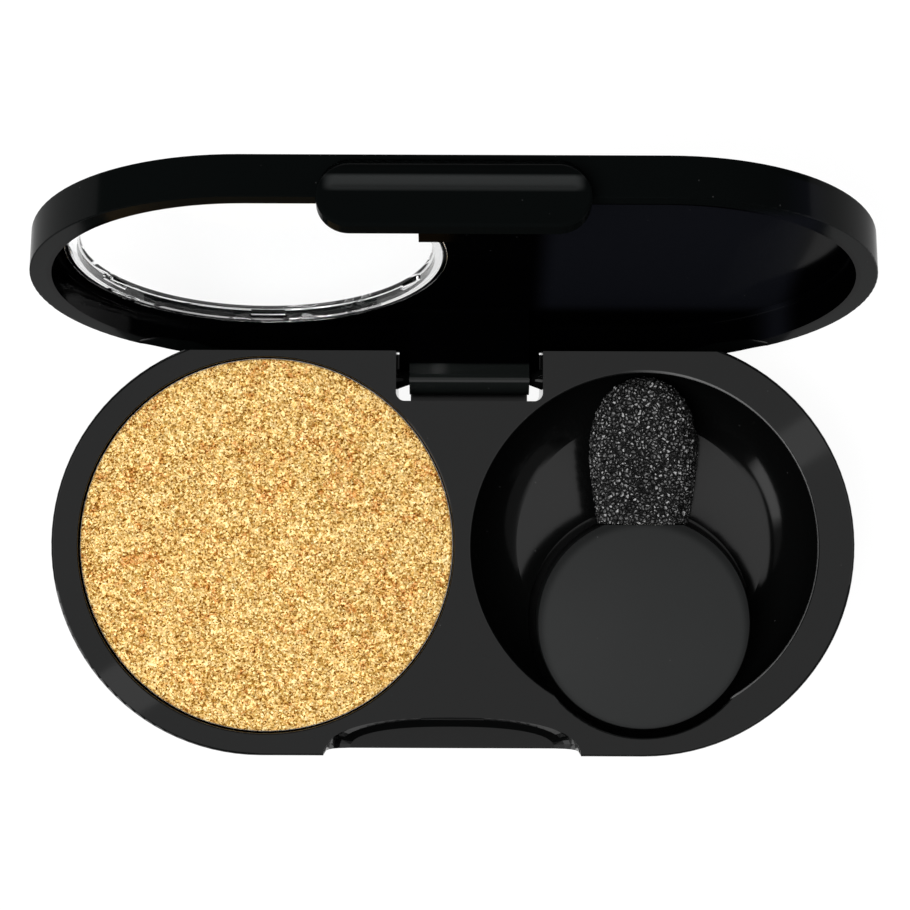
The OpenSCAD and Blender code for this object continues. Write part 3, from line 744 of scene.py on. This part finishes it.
# What gloss mirrors, at these strengths. Places are slopes: across is x / z, along is y / z.
BOX_LEVEL, BOX_MIDDLE_LEVEL = 0.83, 0.47
LEFT_LEVEL, LEFT_BACK_LEVEL, RIGHT_LEVEL, BACK_LEVEL = 1.35, 0.11, 0.11, 0.6
STRIP_LEVEL, STRIP_TURN = 0.46, math.radians(33)


def light_box(bench, across, along):
    """Overhead box, dimmer in its middle."""
    box = bench.product(bench.window(across, -0.62, 0.62, 0.05),
                        bench.window(along, -0.42, 0.158, 0.04))
    middle = bench.product(bench.window(across, -0.17, 0.17, 0.02),
                           bench.window(along, -0.13, 0.13, 0.02))
    return bench.product(box, bench.sum("MULTIPLY_ADD", middle, BOX_MIDDLE_LEVEL - BOX_LEVEL,
                                        BOX_LEVEL))


def low_lights(bench, way, across, along):
    """Lights low round the room. turn is the way round, y / |x|, and far is level distance / z."""
    far = bench.length(across, along)
    above = bench.step(way["Z"], 0.0, 0.02)
    turn = bench.sum("DIVIDE", way["Y"],
                     bench.sum("MAXIMUM", bench.sum("ABSOLUTE", way["X"]), 0.001))
    on_left = bench.step(way["X"], -0.002, 0.002, 1.0, 0.0)
    on_right = bench.step(way["X"], -0.002, 0.002)
    left = bench.sum("MULTIPLY_ADD", bench.window(turn, -0.84, -0.23, 0.05), LEFT_LEVEL,
                     bench.product(bench.window(turn, -0.21, 0.2, 0.05), LEFT_BACK_LEVEL))
    left = bench.product(on_left, bench.window(far, 0.87, 28.0, 0.05), above, left)
    right = bench.product(on_right, bench.window(turn, -1.03, 0.25, 0.05),
                          bench.window(far, 0.62, 3.0, 0.05))
    back = bench.product(bench.step(along, 0.95, 2.2), bench.step(turn, 1.4, 1.9), above)
    return bench.sum("MULTIPLY_ADD", back, BACK_LEVEL,
                     bench.sum("MULTIPLY_ADD", right, RIGHT_LEVEL, left))


def slanting_strips(bench, across, along):
    """Two narrow strips that give the deck its two slanting lights."""
    cos, sin = math.cos(STRIP_TURN), math.sin(STRIP_TURN)
    over = bench.sum("MULTIPLY_ADD", along, cos, bench.product(across, -sin))
    out = bench.sum("MULTIPLY_ADD", across, cos, bench.product(along, sin))
    right = bench.product(bench.window(over, -0.073, -0.058, 0.0012),
                          bench.window(out, 0.085, 0.14, 0.003))
    left = bench.product(bench.window(over, -0.017, 0.003, 0.0012),
                         bench.window(out, -0.18, -0.12, 0.003))
    return bench.product(bench.sum("ADD", right, left), STRIP_LEVEL)


def studio_world():
    """White to the eye, even for soft light, and for gloss a light box over a dark room."""
    world = bpy.data.worlds.new("studio")
    bpy.context.scene.world = world
    world.use_nodes = True
    world.node_tree.nodes.clear()
    bench = Bench(world.node_tree)
    rays = bench.add("ShaderNodeLightPath").outputs
    way = bench.apart(bench.add("ShaderNodeTexCoord").outputs["Generated"])
    up = bench.sum("MAXIMUM", way["Z"], 0.001)
    across = bench.sum("DIVIDE", way["X"], up)
    along = bench.sum("DIVIDE", way["Y"], up)
    gloss = bench.sum("ADD", light_box(bench, across, along),
                      low_lights(bench, way, across, along))
    gloss = bench.sum("ADD", gloss, slanting_strips(bench, across, along))

    even = 0.5
    white = bench.sum("MAXIMUM", rays["Is Camera Ray"], rays["Is Transmission Ray"])
    level = bench.sum("MULTIPLY_ADD", rays["Is Glossy Ray"], bench.sum("SUBTRACT", gloss, even),
                      even)
    level = bench.sum("MULTIPLY_ADD", white, 1 - even, level)
    sky = bench.add("ShaderNodeBackground", {"Color": grey(1.0), "Strength": level})
    bench.add("ShaderNodeOutputWorld", {"Surface": sky.outputs[0]})


def soft_lamp(name, place, size, energy):
    """Large soft lamp aimed at the compact. It lights the surfaces but isn't mirrored in them."""
    lamp = bpy.data.lights.new(name, "AREA")
    lamp.shape = "DISK"
    lamp.size = size
    lamp.energy = energy
    holder = bpy.data.objects.new(name, lamp)
    bpy.context.scene.collection.objects.link(holder)
    holder.location = place
    aim = Vector((0, 0, 0.01)) - Vector(place)
    holder.rotation_euler = aim.to_track_quat("-Z", "Y").to_euler()
    holder.visible_glossy = False
    holder.visible_camera = False


def straight_down_camera():
    camera = bpy.data.cameras.new("camera")
    camera.sensor_width = 36.0
    camera.lens = 107.45
    camera.clip_start = 0.005
    camera.clip_end = 20.0
    holder = bpy.data.objects.new("camera", camera)
    bpy.context.scene.collection.objects.link(holder)
    holder.location = (0.135 * MM, 6.8 * MM, 212.9 * MM)
    holder.rotation_euler = (0, 0, math.radians(0.2037))
    bpy.context.scene.camera = holder


pale_floor()
studio_world()
soft_lamp("key lamp", (-0.25, -0.15, 0.6), 0.5, 5.0)
straight_down_camera()

bpy.context.scene.view_settings.view_transform = "Standard"
